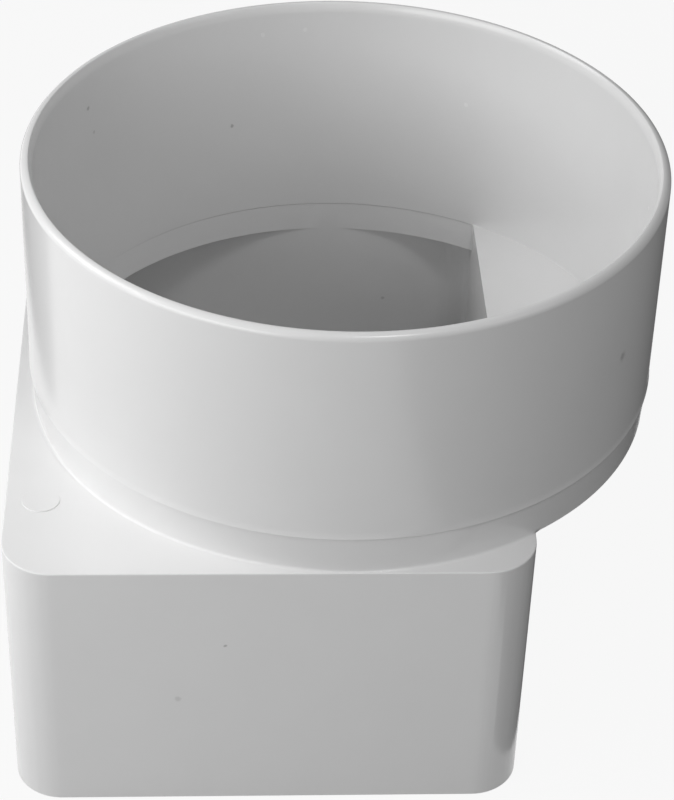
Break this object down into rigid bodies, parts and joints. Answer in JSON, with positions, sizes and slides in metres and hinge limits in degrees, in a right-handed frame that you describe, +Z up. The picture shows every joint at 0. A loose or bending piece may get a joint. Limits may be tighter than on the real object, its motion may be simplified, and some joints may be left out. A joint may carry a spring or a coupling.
{
  "type": "offset downspout adapter",
  "caption": "Offset downspout adapter: a round pipe hub moulded together with a rectangular downspout box, with the hub's axis set to one side of the box.",
  "frame": {"origin": "centre of the rectangular socket's mouth, on the plane of the box's foot", "axes": "+Z up along the hub's axis; +X the way the hub is offset from the box's centre line"},
  "size_m": [0.1146, 0.1122, 0.1001],
  "materials": {
    "white_pvc": "semi-gloss moulded white PVC"
  },
  "bodies": {
    "root": {"adapter_body": "white_pvc"}
  },
  "joints": []
}
